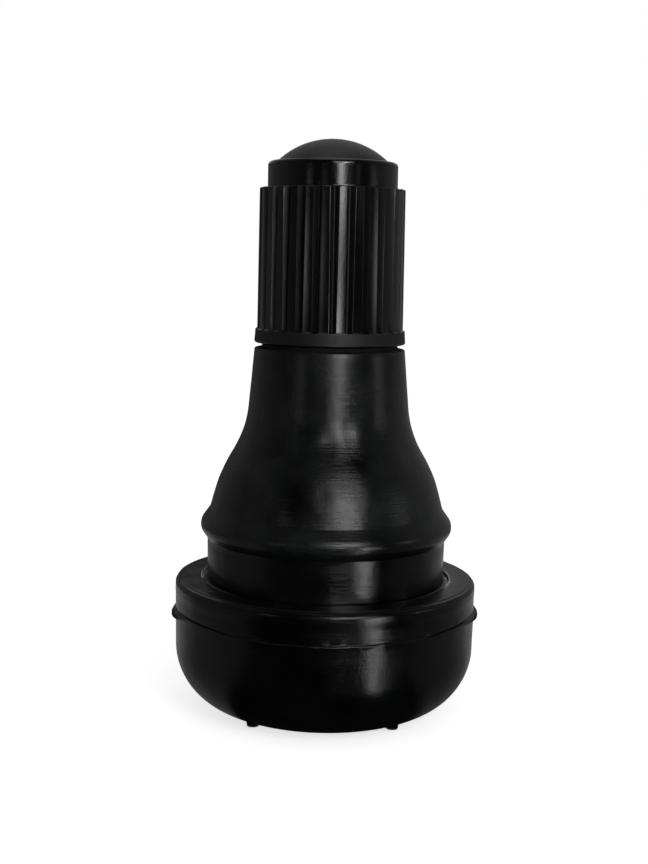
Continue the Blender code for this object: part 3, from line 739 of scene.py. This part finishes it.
def makeBody(rubber):
    size = bodySizes
    seat, edge, foot = size.seatHeight, size.seatEdgeRadius, size.footHeight
    groove, moat, recess = size.grooveRadius, size.moatRadius, size.recessRadius
    top = level("rubber_body", 1)
    wall = size.flangeRadius
    flash = seat - size.flashDrop
    thick = size.flashHalfThickness
    bulbTop = size.bulbRadius - size.bulbTaper * (size.bulbTopHeight - size.bulbHeight)
    flareTop = bulbTop - size.flareTaper * (size.flareTopHeight - size.bulbTopHeight)
    bore = stemSizes.shankRadius + stemSizes.bondGap
    noseReach = size.beadNoseRounding * (1 / math.cos(math.radians(size.beadNoseSlope)) - 1)
    recessRoof = foot + size.recessDepth
    line = size.lineStep
    corners = [
        (bore, top), (size.collarRadius, top, 0.08), (size.collarRadius, size.neckTopHeight + 0.12, 0.06),
        (size.neckTopRadius, size.neckTopHeight, 0.1), (flareTop, size.flareTopHeight, size.flareRounding),
        (bulbTop, size.bulbTopHeight, size.bulbRounding), (size.bulbRadius, size.bulbHeight, 0.4),
        (size.beadRadius + noseReach, size.beadHeight + size.beadNoseHeight, size.beadNoseRounding),
        (groove, size.beadHeight, 0.1), (groove, seat - size.moatDepth, 0.08),
        (moat, seat - size.moatDepth, 0.05), (moat, seat, 0.12), (edge, seat, 0.05),
        (edge + 0.03, seat - size.seatStep, 0.03), (edge + 0.22, seat - 1.6 * size.seatStep, 0.05),
        (wall, seat - size.seatRoundingDrop, 0.3), (wall, size.wallLineHeight + 0.02),
        (wall - line, size.wallLineHeight - 0.02), (wall - line, flash + 2.2 * thick, 0.015),
        (wall - line - size.flashGroove, flash + 1.7 * thick, 0.01), (wall - line, flash + 1.2 * thick),
        (wall + size.flashReach, flash + thick / 3), (wall + size.flashReach, flash - thick / 3),
        (wall - line, flash - thick), (wall - size.flangeDraft, foot, size.baseRounding),
        (recess, foot, 0.12), (recess, recessRoof, 0.1),
    ]
    corners += reversed(bondedPath(stemSizes.bondGap))
    points = divided(roundedPath(corners), 0.35, foot, top)
    body = spun("rubberBody", points, size.segments)
    pressDents(body)
    addTree(
        body, makeUnevenTree(), amount=0.042, size=2.4, innerRadius=recess + 0.6, low=1.2, high=25.5,
    )
    addTree(
        body, makeFlashTree(), wall=wall - line, level=flash, band=3 * thick,
        reach=size.flashReach + line, frontReach=0.24, wander=0.10, flapWidth=0.5, leftDroop=0.42,
        rightDroop=0.12, sideThickness=2.2, waves=2.2, seed=4.0,
    )
    addTree(
        body, makeFeetTree(), count=size.footCount, circleRadius=size.footCircleRadius * mm,
        footRadius=size.footRadius * mm, height=2 * foot * mm,
    )
    return settle(body, rubber, "stem", ["rubber_body"], 50.0)


def makeStem(brass, threadTree):
    size = stemSizes
    nose, coreThread = size.threadRadius, size.coreThreadRadius
    chamber, passage = size.chamberRadius, size.passageRadius
    tip = level("brass_stem", 1)
    collarTop = level("rubber_body", 1)
    roof = bodySizes.footHeight + bodySizes.recessDepth
    coneTop = tip - size.coreThreadLength
    coneBottom = coneTop - size.coneLength
    chamberFloor = tip - size.chamberDepth
    corners = [
        (coreThread + size.mouthChamfer, tip), (nose - size.noseChamfer, tip),
        (nose, tip - size.noseChamfer), (nose, collarTop + size.threadRunOut),
        (size.shankRadius, collarTop + size.threadRunOut / 3),
    ]
    corners += bondedPath(0.0)
    corners += [
        (passage, roof), (passage, chamberFloor - (chamber - passage)), (chamber, chamberFloor),
        (chamber, coneBottom), (size.coneTopRadius, coneTop),
        (coreThread, coneTop + coreThread - size.coneTopRadius), (coreThread, tip - size.mouthChamfer),
    ]
    points = roundedPath(corners)
    points = divided(points, size.threadPitch / 14, collarTop, tip)
    points = divided(points, 0.8, roof, collarTop)
    stem = spun("brassStem", points, size.segments)
    addTree(
        stem, threadTree, radius=nose, pitch=size.threadPitch, depth=size.threadDepth,
        low=collarTop + size.threadRunOut, high=tip, lowRunOut=0.9, highRunOut=1e-3,
    )
    addTree(
        stem, threadTree, radius=coreThread, pitch=size.coreThreadPitch, depth=size.coreThreadDepth,
        low=coneTop + coreThread - size.coneTopRadius, high=tip, lowRunOut=0.3, highRunOut=1e-3,
    )
    return settle(stem, brass, "stem", ["brass_stem"])


# Dust cap
capSizes = Values(
    rimRadius=5.37, rimTopRadius=5.31, rimHeight=1.0, ribCount=28, ribSteps=14, ribHeight=9.8,
    ribRadius=5.18, ribTopRadius=5.12, valleyRadius=4.6, firstRib=-4.9, lowCrest=0.62,
    highCrest=0.50, floor=0.07, lowEdge=0.015, highEdge=0.035, collarRadius=4.56, collarHeight=1.85,
    collarRounding=0.3, wallHold=0.05, domeRadius=3.92, domeHeight=1.6, mouthRadius=4.25,
    mouthDepth=0.6, leadIn=0.5, threadClearance=0.1, sealWidth=1.0, sealHeight=1.05, sealGap=0.05,
    headroom=1.7,
)


def makeCap(plastic, threadTree):
    size = capSizes
    collar, rim, rimTop = size.collarRadius, size.rimRadius, size.rimTopRadius
    mouth, crest = size.mouthRadius, size.ribTopRadius
    low = level("valve_cap", 0)
    high = level("valve_cap", 1)
    tip = level("brass_stem", 1)
    bore = stemSizes.threadRadius + size.threadClearance
    ribLow = low + size.rimHeight
    ribHigh = ribLow + size.ribHeight
    collarTop = high - size.domeHeight
    pocket = tip + 2 * size.sealGap + size.sealHeight
    inside = bore - size.sealWidth - size.threadClearance
    ball = (size.domeRadius ** 2 + size.domeHeight ** 2) / (2 * size.domeHeight)
    half = math.asin(size.domeRadius / ball)
    domeSteps = 18
    corners = []
    for i in range(domeSteps + 1):
        angle = half * i / domeSteps
        corners.append((ball * math.sin(angle), high - ball * (1 - math.cos(angle))))
    corners += [
        (collar, collarTop, size.collarRounding),
        # the next two keep the wall's shading level
        (collar, collarTop - size.collarRounding - size.wallHold), (collar, ribHigh + 0.06 + size.wallHold),
        (collar, ribHigh, 0.06), (crest - 0.05, ribHigh), (crest, ribHigh - 0.06), (size.ribRadius, ribLow),
        (rimTop - 0.06, ribLow), (rimTop, ribLow - 0.06), (rim, low + 0.08), (rim - 0.08, low),
        (mouth, low), (mouth, low + size.mouthDepth), (bore, low + size.mouthDepth + size.leadIn),
        (bore, pocket), (inside, pocket), (inside, tip + size.headroom), (0.0, tip + size.headroom),
    ]
    points = roundedPath(corners)
    threadLow = low + size.mouthDepth + size.leadIn
    points = divided(points, 0.6, ribLow - 0.01, ribHigh + 0.01)
    points = divided(points, stemSizes.threadPitch / 12, threadLow, pocket, bore + 0.01)
    cap = spun("valveCap", points, size.ribCount * size.ribSteps, size.firstRib)
    addTree(
        cap, makeRibTree(), ribs=float(size.ribCount), firstRib=size.firstRib / 360 - 0.25, low=ribLow,
        high=ribHigh, wallRadius=collar + 0.3, valleyRadius=size.valleyRadius, lowCrest=size.lowCrest,
        highCrest=size.highCrest, floor=size.floor, lowEdge=size.lowEdge, highEdge=size.highEdge,
        edgeTurn=math.radians(60.0),
    )
    addTree(
        cap, threadTree, radius=bore, pitch=stemSizes.threadPitch, depth=stemSizes.threadDepth,
        low=threadLow + 0.2, high=tip, lowRunOut=0.7, highRunOut=0.7,
    )
    return settle(cap, plastic, "cap", ["valve_cap"], 28.0)


# Valve core and the cap's sealing ring
coreSizes = Values(
    plugRadius=2.55, plugThreadDepth=0.27, plugLength=4.6, plugRecess=0.45, plugBore=0.95,
    plugEdge=0.3, forkDepth=1.9, forkWidth=2.5, swivelNeck=1.35, swivelFlange=1.7,
    swivelThickness=0.5, swivelThroat=0.6, swivelGap=0.1, shoulderRadius=2.2, shoulderThickness=0.5,
    barrelRadius=1.7, barrelLength=7.8, barrelBore=1.2, barrelThroat=0.7, barrelFloor=0.8,
    lipWidth=0.35, lipHeight=0.4, gasketLength=1.5, gasketInside=1.45, sealGap=0.06, pinRadius=0.4,
    pinHeadRadius=0.75, pinHeadHeight=0.5, pinProud=0.2, pinCollarRadius=1.05,
    pinCollarThickness=0.4, rivetRadius=0.7, rivetThickness=0.3, cupRadius=1.75, cupHeight=1.35,
    cupWall=0.35, cupGap=0.05, sealThickness=0.9, springLength=5.6, springRadius=0.88,
    springWire=0.22, springTurns=6.0, segments=96,
)


def makeTurned(name, corners, finish, body, node, segments):
    piece = spun(name, roundedPath(corners), segments)
    return settle(piece, finish, body, [node])


def makeCore(brass, gasketRed, steel, sealRubber, threadTree):
    size = coreSizes
    gap, sealGap, swivelGap = size.cupGap, size.sealGap, size.swivelGap
    plugBore, swivel, neck = size.plugBore, size.swivelFlange, size.swivelNeck
    shoulder, barrelThroat, barrelBore = size.shoulderRadius, size.barrelThroat, size.barrelBore
    head, pinCollar, cup = size.pinHeadRadius, size.pinCollarRadius, size.cupRadius
    chamber, rivetThickness = stemSizes.chamberRadius, size.rivetThickness
    count = size.segments
    tip = level("brass_stem", 1)
    plugTop = tip - size.plugRecess
    plugLow = plugTop - size.plugLength
    shoulderTop = plugLow - swivelGap
    shoulderLow = shoulderTop - size.shoulderThickness
    gasketLow = shoulderLow - size.gasketLength - 2 * sealGap
    barrelLow = shoulderTop - size.barrelLength
    springLow = barrelLow + size.barrelFloor + gap
    cupTop = barrelLow - gap
    cupLow = cupTop - size.cupHeight

    groove = plugLow + size.swivelThroat
    grooveTop = groove + size.swivelThickness + 2 * swivelGap
    throat = neck + swivelGap
    radius, edge = size.plugRadius, size.plugEdge
    points = roundedPath([
        (plugBore, plugTop, 0.08), (radius - edge, plugTop, 0.04), (radius, plugTop - edge),
        (radius, plugLow + edge), (radius - edge, plugLow), (throat, plugLow), (throat, groove),
        (swivel + swivelGap, groove), (swivel + swivelGap, grooveTop), (plugBore, grooveTop),
    ])
    pitch = stemSizes.coreThreadPitch
    plug = spun("corePlug", divided(points, pitch / 14, plugLow, plugTop), count)
    addTree(
        plug, threadTree, radius=radius, pitch=pitch, depth=size.plugThreadDepth, low=plugLow,
        high=plugTop, lowRunOut=1e-3, highRunOut=1e-3,
    )
    cutterShape = bmesh.new()
    for side in (-1, 1):
        middle = Vector((side * (size.forkWidth / 2 + radius), 0.0, plugTop)) * mm
        reach = Matrix.Diagonal((2 * radius * mm, 4 * radius * mm, 2 * size.forkDepth * mm, 1.0))
        bmesh.ops.create_cube(cutterShape, size=1.0, matrix=Matrix.Translation(middle) @ reach)
    cutter = addMesh("forkFlats", cutterShape)
    flats = plug.modifiers.new("forkFlats", "BOOLEAN")
    flats.object, flats.operation, flats.solver = cutter, "DIFFERENCE", "EXACT"
    settle(plug, brass, "plug", ["core_plug"])
    bpy.data.objects.remove(cutter, do_unlink=True)

    flange = plugLow + size.swivelThroat + swivelGap
    flangeTop = flange + size.swivelThickness
    land = size.gasketInside - sealGap
    makeTurned("coreBarrel", [
        (plugBore, flangeTop), (swivel, flangeTop, 0.05), (swivel, flange, 0.05), (neck, flange),
        (neck, shoulderTop), (shoulder, shoulderTop, 0.08), (shoulder, shoulderLow, 0.08),
        (land, shoulderLow), (land, gasketLow), (size.barrelRadius, gasketLow, 0.06),
        (size.barrelRadius, barrelLow + size.lipHeight, 0.1),
        (barrelThroat + size.lipWidth, barrelLow, 0.08), (barrelThroat, barrelLow, 0.06),
        (barrelThroat, barrelLow + size.barrelFloor), (barrelBore, barrelLow + size.barrelFloor),
        (barrelBore, shoulderLow), (plugBore, shoulderLow + barrelBore - plugBore),
    ], brass, "core", "core_barrel", count)

    coneLow = tip - stemSizes.coreThreadLength - stemSizes.coneLength
    slope = (stemSizes.coneTopRadius - chamber) / stemSizes.coneLength
    ringTop, ringLow = shoulderLow - sealGap, gasketLow + sealGap
    topRadius = chamber + slope * (ringTop - coneLow) - sealGap
    lowRadius = chamber - sealGap
    makeTurned("barrelGasket", [
        (size.gasketInside, ringTop, 0.05), (topRadius, ringTop, 0.16), (lowRadius, ringLow, 0.16),
        (size.gasketInside, ringLow, 0.05),
    ], gasketRed, "core", "barrel_gasket", count)

    spring = spun("coreSpring", [Vector((1.0, 1.0)), Vector((1.1, 1.0)), Vector((1.0, 1.1))], 3)
    addTree(
        spring, makeSpringTree(), turns=size.springTurns, steps=289, radius=size.springRadius,
        bottom=springLow, length=size.springLength, wire=size.springWire, closedPitch=0.246,
    )
    settle(spring, steel, "core", ["core_spring"])
    springLow * mm
    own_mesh(spring)

    pin, top = size.pinRadius, plugTop + size.pinProud
    collarLow = springLow + size.springLength + gap
    collarTop = collarLow + size.pinCollarThickness
    rivet = cupLow - gap
    makeTurned("plungerPin", [
        (0.0, top), (head, top, 0.22), (head, top - size.pinHeadHeight, 0.06),
        (pin, top - size.pinHeadHeight), (pin, collarTop), (pinCollar, collarTop, 0.08),
        (pinCollar, collarLow, 0.08), (pin, collarLow), (pin, rivet), (size.rivetRadius, rivet),
        (size.rivetRadius, rivet - rivetThickness, 0.18), (0.0, rivet - rivetThickness),
    ], brass, "plunger", "plunger_pin", 64)

    hole = pin + gap
    inside = cup - size.cupWall
    floor = cupLow + size.cupHeight - size.sealThickness - 2 * gap
    makeTurned("plungerCup", [
        (inside, cupTop, 0.05), (cup, cupTop, 0.08), (cup, cupLow, 0.25), (hole, cupLow), (hole, floor),
        (inside, floor),
    ], brass, "plunger", "plunger_cup", count)
    discTop = cupTop - gap
    makeTurned("plungerSeal", [
        (hole, discTop), (inside - gap, discTop, 0.1), (inside - gap, discTop - size.sealThickness, 0.1),
        (hole, discTop - size.sealThickness),
    ], sealRubber, "plunger", "plunger_seal", count)


def makeCapSeal(sealRubber):
    low = level("brass_stem", 1) + capSizes.sealGap
    high = low + capSizes.sealHeight
    outside = stemSizes.threadRadius
    makeTurned("capSealRing", [
        (outside - capSizes.sealWidth, high, 0.12), (outside, high, 0.3), (outside, low, 0.3),
        (outside - capSizes.sealWidth, low, 0.12),
    ], sealRubber, "cap_ring", "cap_seal", 128)


# Floor, world, lamps and camera
studio = Values(
    floorColor=(0.86, 0.86, 0.86, 1.0), floorRoughness=0.9, floorGlow=0.72, skyStrength=0.35,
    cameraDistance=0.09622, cameraHeight=0.03275, cameraAside=-0.000284, cameraPitch=7.411,
    cameraRoll=1.12, lens=56.25, sensorWidth=36.0, clipping=(0.002, 20.0),
)

# turn from the camera's side in degrees, distance, height, width, length and radiance
lamps = {
    "neckLamp": (20.5, 0.128, 0.0640, 0.016, 0.022, 13.0),
    "wideLamp": (18.0, 0.126, 0.0850, 0.074, 0.062, 3.2),
    "lowLamp": (33.0, 0.045, 0.0055, 0.0050, 0.010, 12.5),
    "backLamp": (176.0, 0.130, 0.0300, 0.010, 0.030, 2.0),
}

# cards that only reflections see, so the black stays black: radius and height of
# their two edges, then turn from the camera's side and strength at that turn
cardReach = 0.14
cards = {
    "lowCard": ((cardReach, -0.01), (cardReach, 0.06), (
        (-180, 0.04), (-160, 0.05), (-140, 0.12), (-112, 0.13), (-88, 0.12), (-60, 0.05), (-40, 0.02),
        (58, 0.02), (75, 0.10), (105, 0.17), (150, 0.17), (180, 0.16),
    )),
    "highCard": ((cardReach, 0.06), (cardReach, 0.40), (
        (-180, 0.40), (-150, 0.34), (-125, 0.14), (-88, 0.11), (-60, 0.05), (-40, 0.02), (58, 0.02),
        (75, 0.12), (105, 0.18), (140, 0.20), (155, 0.42), (180, 0.42),
    )),
    "topCard": ((cardReach, 0.40), (0.0001, 0.40), ((-180, 0.62), (180, 0.62))),
    "nearTable": ((0.055, 0.0001), (0.0001, 0.0001), (
        (-180, 0.95), (-172, 0.75), (-162, 0.32), (-130, 0.28), (-98, 0.14), (-54, 0.12), (-47, 0.006),
        (50, 0.006), (60, 0.09), (100, 0.13), (130, 0.30), (160, 0.45), (172, 0.75), (180, 0.95),
    )),
    "farTable": ((cardReach, 0.0001), (0.055, 0.0001), (
        (-180, 0.95), (-174, 0.80), (-165, 0.10), (-130, 0.09), (-95, 0.08), (-88, 0.13), (-54, 0.11),
        (-47, 0.006), (52, 0.006), (62, 0.09), (98, 0.12), (112, 0.22), (135, 0.16), (165, 0.14),
        (174, 0.80), (180, 0.95),
    )),
}

# turn from and to at the first edge and at the second, radius and height of both, and strength
patchReach = 0.137
ribBand = ((patchReach, 0.0250), (patchReach, 0.0415))          # heights that the ribs reflect
collarBand = ((patchReach, 0.0430), (patchReach, 0.0500))       # and the collar
patches = {
    "ribKey": ((8.0, 17.0), (13.8, 16.2), (patchReach, 0.0235), (patchReach, 0.0420), 3.4),
    "collarKey": ((9.0, 18.5), (9.0, 18.5), (patchReach, 0.0430), (patchReach, 0.0515), 11.0),
    "bulbKey": ((8.5, 15.5), (8.0, 16.0), (patchReach, 0.0080), (patchReach, 0.0235), 9.0),
    "streakEdge": ((18.5, 27.0), (18.5, 27.0), *collarBand, 0.35),
    "dimStrip": ((41.5, 45.5), (41.5, 45.5), *collarBand, 0.60),
    "thinStrip": ((-45.5, -43.0), (-45.5, -43.0), *collarBand, 0.12),
    "leftStrip": ((-45.0, -37.5), (-44.0, -37.5), *ribBand, 1.80),
    "middleStrip": ((-19.0, -11.5), (-18.0, -11.0), *ribBand, 0.80),
    "rightStrip": ((69.0, 82.0), (69.0, 82.0), *ribBand, 1.90),
    # for the undersides of the bead and the cap, and for the flange and the base
    "bellyGlow": ((4.0, 24.0), (4.0, 24.0), (0.0160, 0.0002), (0.026, 0.0002), 0.10),
    "baseGlow": ((25.0, 29.5), (29.5, 34.0), (0.0175, 0.0003), (0.041, 0.0003), 5.4),
}


def addCard(name, firstTurns, secondTurns, first, second, stops):
    # a studio card bent round the valve's axis, its strength changing with the turn
    shape, steps = bmesh.new(), 48
    pairs = []
    for k in range(steps + 1):
        pair = []
        for (reach, height), (low, high) in ((first, firstTurns), (second, secondTurns)):
            angle = math.radians(low + (high - low) * k / steps)
            pair.append(shape.verts.new((reach * math.sin(angle), -reach * math.cos(angle), height)))
        pairs.append(pair)
    for one, two in zip(pairs, pairs[1:]):
        shape.faces.new((one[0], two[0], two[1], one[1]))
    card = addMesh(name, shape)
    finish, tree = startMaterial(name)
    tree.nodes.clear()
    parts = splitPlace(tree, addNode(tree, "ShaderNodeTexCoord")["Object"])
    turn = calc("ARCTAN2", parts["X"], parts["Y"] * -1.0)
    ramp = addNode(tree, "ShaderNodeValToRGB", {"Fac": remap(turn, -math.pi, math.pi)})
    points = ramp.node.color_ramp.elements
    for end in (0, -1):
        points[end].color = (stops[end][1],) * 3 + (1.0,)
    for degrees, value in stops[1:-1]:
        points.new((degrees + 180.0) / 360.0).color = (value,) * 3 + (1.0,)
    glow = addNode(tree, "ShaderNodeEmission", {"Color": ramp[0]})[0]
    newNode(tree, "ShaderNodeOutputMaterial", {"Surface": glow})
    card.data.materials.append(finish)
    for rays in ("camera", "diffuse", "shadow", "transmission"):
        setattr(card, f"visible_{rays}", False)


def addLamp(name, location, size, power):
    lamp = bpy.data.lights.new(name, "AREA")
    lamp.shape = "RECTANGLE"
    lamp.size, lamp.size_y = size
    lamp.energy = power
    holder = bpy.data.objects.new(name, lamp)
    holder.visible_camera = False
    bpy.context.scene.collection.objects.link(holder)
    aim = Vector((-location[0], -location[1], 0.0)).normalized()
    side = aim.cross(Vector((0.0, 0.0, 1.0)))
    turned = Matrix((side, Vector((0.0, 0.0, 1.0)), -aim)).transposed().to_4x4()
    holder.matrix_world = Matrix.Translation(location) @ turned


def whiteRays(tree):
    # 1 on rays that should see the white background: from the camera, and off or through gloss
    path = addNode(tree, "ShaderNodeLightPath")
    seen = calc("MAXIMUM", path["Is Camera Ray"], path["Is Glossy Ray"])
    return calc("MAXIMUM", seen, path["Is Transmission Ray"])


def makeStudio():
    scene = bpy.context.scene
    scene.view_settings.view_transform = "Standard"
    world = bpy.data.worlds.new("studio")
    scene.world = world
    world.use_nodes = True
    tree = world.node_tree
    sky = tree.nodes["Background"].inputs
    sky["Color"].default_value = (1.0, 1.0, 1.0, 1.0)
    setSocket(sky["Strength"], remap(whiteRays(tree), 0.0, 1.0, studio.skyStrength, 1.0))

    shape = bmesh.new()
    bmesh.ops.create_circle(shape, cap_ends=True, radius=3.0, segments=96)
    floor = addMesh("floor", shape)
    finish, tree = startMaterial("paleFloor")
    paint(
        finish, baseColor=studio.floorColor, roughness=studio.floorRoughness, specularIorLevel=0.0,
        emissionColor=(1.0, 1.0, 1.0, 1.0), emissionStrength=whiteRays(tree) * studio.floorGlow,
    )
    floor.data.materials.append(finish)

    for name, (turn, distance, height, width, length, radiance) in lamps.items():
        aside = math.radians(turn)
        place = (distance * math.sin(aside), -distance * math.cos(aside), height)
        addLamp(name, place, (width, length), radiance * math.pi * width * length)
    for name, (first, second, stops) in cards.items():
        addCard(name, (-180.0, 180.0), (-180.0, 180.0), first, second, stops)
    for name, (*edges, strength) in patches.items():
        addCard(name, *edges, ((-180, strength), (180, strength)))

    camera = bpy.data.objects.new("camera", bpy.data.cameras.new("camera"))
    scene.collection.objects.link(camera)
    camera.data.lens = studio.lens
    camera.data.sensor_width = studio.sensorWidth
    camera.data.clip_start, camera.data.clip_end = studio.clipping
    tilt = Matrix.Rotation(math.radians(90.0 - studio.cameraPitch), 4, "X")
    roll = Matrix.Rotation(math.radians(studio.cameraRoll), 4, "Z")
    place = Matrix.Translation((studio.cameraAside, -studio.cameraDistance, studio.cameraHeight))
    camera.matrix_world = place @ tilt @ roll
    scene.camera = camera
    print("studio ready")


makeMillimetres()
makeGrain()
makeTurningMarks()
makeSpecks()
rubber = makeRubber()
plastic = makeCapPlastic()
brass = makeBrass()
sealRubber = makePlainFinish("sealRubber")
gasketRed = makePlainFinish("gasketPolymer")
steel = makePlainFinish("springSteel")
print("finishes ready")

threadTree = makeThreadTree()
makeBody(rubber)
makeStem(brass, threadTree)
makeCap(plastic, threadTree)

makeCapSeal(sealRubber)
makeCore(brass, gasketRed, steel, sealRubber, threadTree)

makeStudio()
